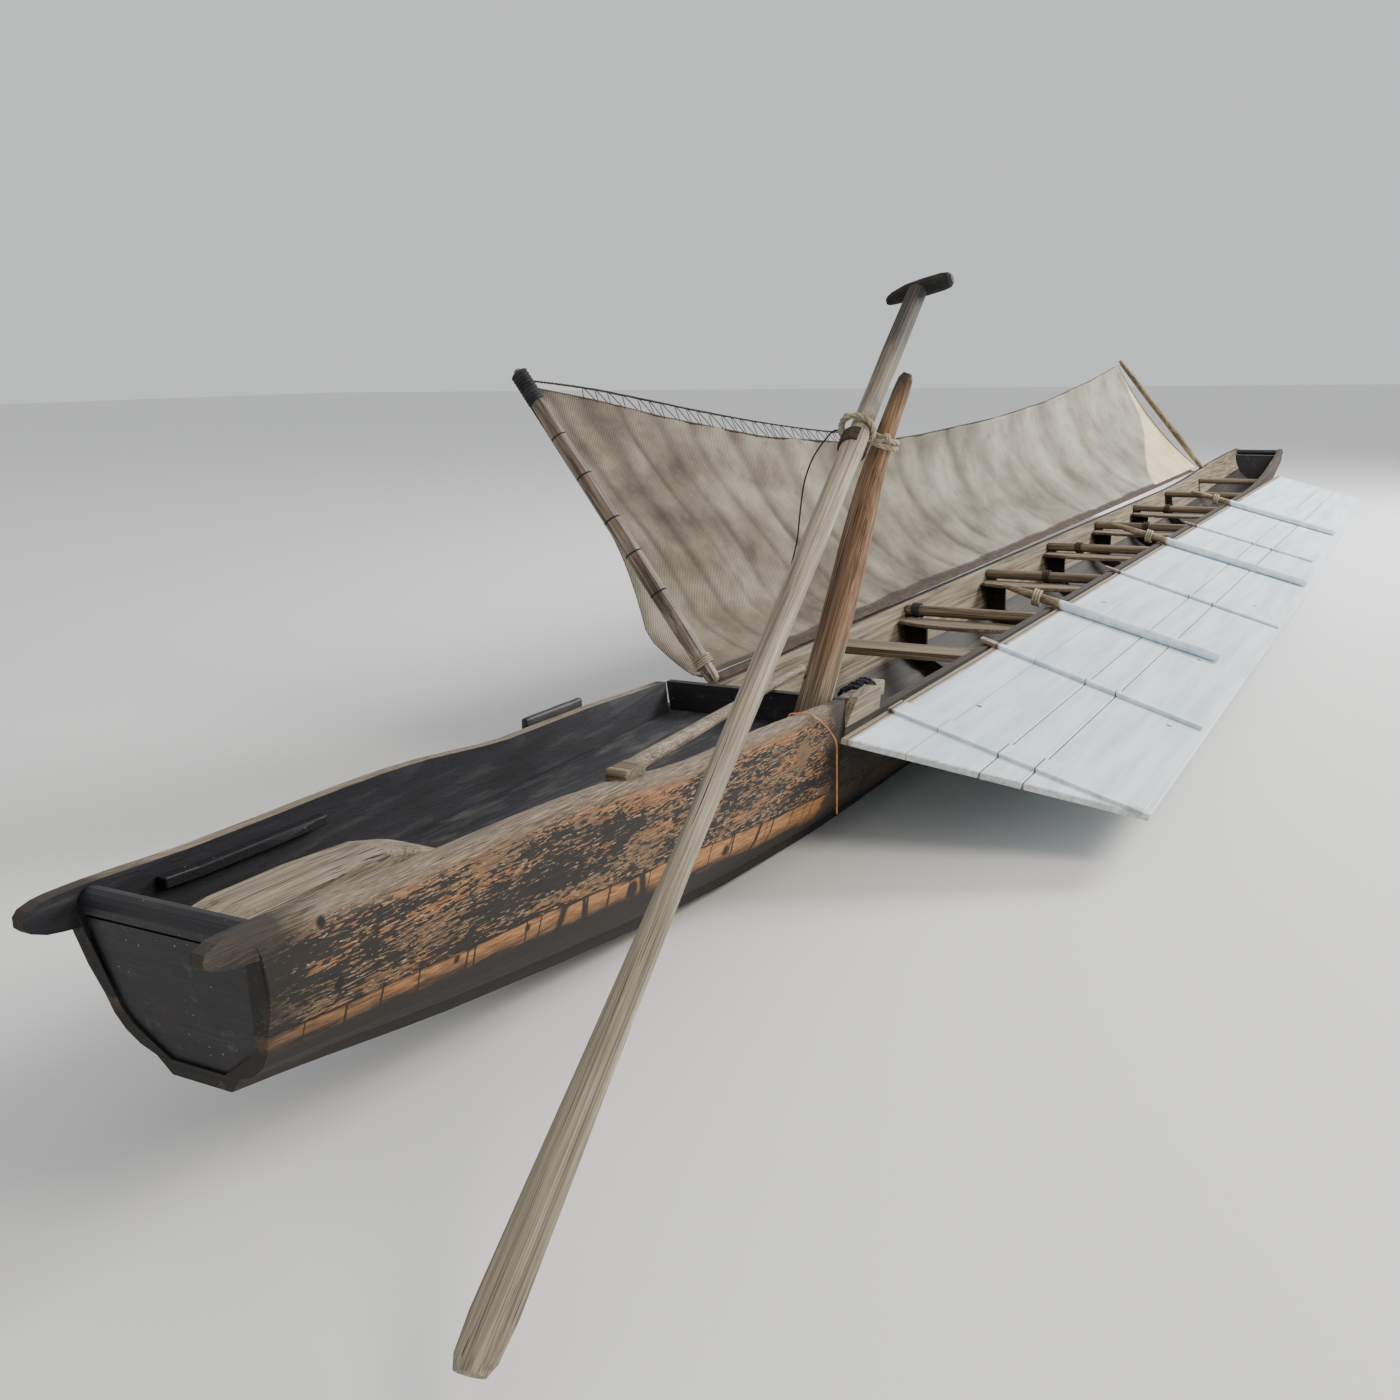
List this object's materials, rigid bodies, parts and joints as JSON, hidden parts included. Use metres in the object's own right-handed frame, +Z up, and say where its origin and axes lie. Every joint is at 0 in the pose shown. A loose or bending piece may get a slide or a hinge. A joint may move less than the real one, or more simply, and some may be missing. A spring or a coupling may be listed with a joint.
{
  "type": "wooden fishing boat",
  "caption": "Slender flat-bottomed wooden fishing boat with a sloping white side board, a net screen on bamboo poles, and an oar roped to a tall rowing post.",
  "frame": {"origin": "under the middle of the hull's flat bottom, on its underside", "axes": "+X towards the bow, +Y to port, +Z up"},
  "size_m": [12.4621, 2.0087, 1.5516],
  "materials": {
    "tarred_wood": "matte",
    "weathered_side_wood": "matte",
    "grey_driftwood": "matte",
    "brown_post_wood": "matte",
    "pale_rope": "matte",
    "tarred_cord": "matte",
    "orange_twine": "matte",
    "worn_white_paint": "satin",
    "old_bamboo": "satin",
    "net_cloth": "matte"
  },
  "bodies": {
    "hull": {"bottom_stern": "tarred_wood", "bottom_aft": "tarred_wood", "bottom_fore": "tarred_wood", "bottom_bow": "tarred_wood", "bilge_port_stern": "tarred_wood", "bilge_port_middle": "tarred_wood", "bilge_port_bow": "tarred_wood", "bilge_starboard_stern": "tarred_wood", "bilge_starboard_middle": "tarred_wood", "bilge_starboard_bow": "tarred_wood", "stern_transom": "tarred_wood", "stern_rail": "tarred_wood", "bow_transom": "tarred_wood", "bow_rail": "tarred_wood", "cockpit_bulkhead": "tarred_wood", "cockpit_deck": "tarred_wood", "inner_slat_port": "tarred_wood", "side_plank_port": "weathered_side_wood", "side_plank_starboard": "weathered_side_wood", "frame_1": "tarred_wood", "beam_1": "grey_driftwood", "frame_2": "tarred_wood", "beam_2": "grey_driftwood", "frame_3": "tarred_wood", "beam_3": "grey_driftwood", "frame_4": "tarred_wood", "beam_4": "grey_driftwood", "frame_5": "tarred_wood", "beam_5": "grey_driftwood", "frame_6": "tarred_wood", "beam_6": "grey_driftwood", "bow_beam": "grey_driftwood", "thwart_plank": "grey_driftwood", "inner_slat_starboard": "grey_driftwood", "stern_timber": "grey_driftwood", "side_chock": "grey_driftwood", "loose_pole": "grey_driftwood", "rowing_post": "brown_post_wood", "gunwale_string": "orange_twine"},
    "board": {"board_plank_inner": "worn_white_paint", "board_plank_middle": "worn_white_paint", "board_plank_outer": "worn_white_paint", "batten_1": "worn_white_paint", "batten_2": "worn_white_paint", "batten_3": "worn_white_paint", "batten_4": "worn_white_paint", "board_pole_1": "grey_driftwood", "board_pole_2": "grey_driftwood", "board_pole_3": "grey_driftwood"},
    "net": {"net_pole_near": "old_bamboo", "net_pole_far": "old_bamboo", "net_sheet": "net_cloth"},
    "grommet": {"rope_grommet": "pale_rope", "post_cord": "tarred_cord"},
    "oar": {"oar_shaft_and_blade": "grey_driftwood", "oar_handle": "grey_driftwood"}
  },
  "joints": [
    {"name": "board_tilt", "type": "hinge", "parent": "hull", "child": "board", "pos_m": [0, -0.3, 0.3403], "axis": [1, 0, 0], "range_deg": [-13, 8]},
    {"name": "net_fold", "type": "hinge", "parent": "hull", "child": "net", "pos_m": [-3.745, 0.286, 0.3673], "axis": [1, -0.0036, 0.0068], "range_deg": [-8, 34]},
    {"name": "oar_swing", "type": "hinge", "parent": "hull", "child": "grommet", "pos_m": [-4.01952, -0.36732, 1.085], "axis": [0.1024, -0.3121, 0.9445], "range_deg": [-4, 20]},
    {"name": "oar_lift", "type": "hinge", "parent": "grommet", "child": "oar", "pos_m": [-4.1, -0.339, 1.126], "axis": [-0.1622, 0.9868, 0], "range_deg": [0, 16]}
  ]
}
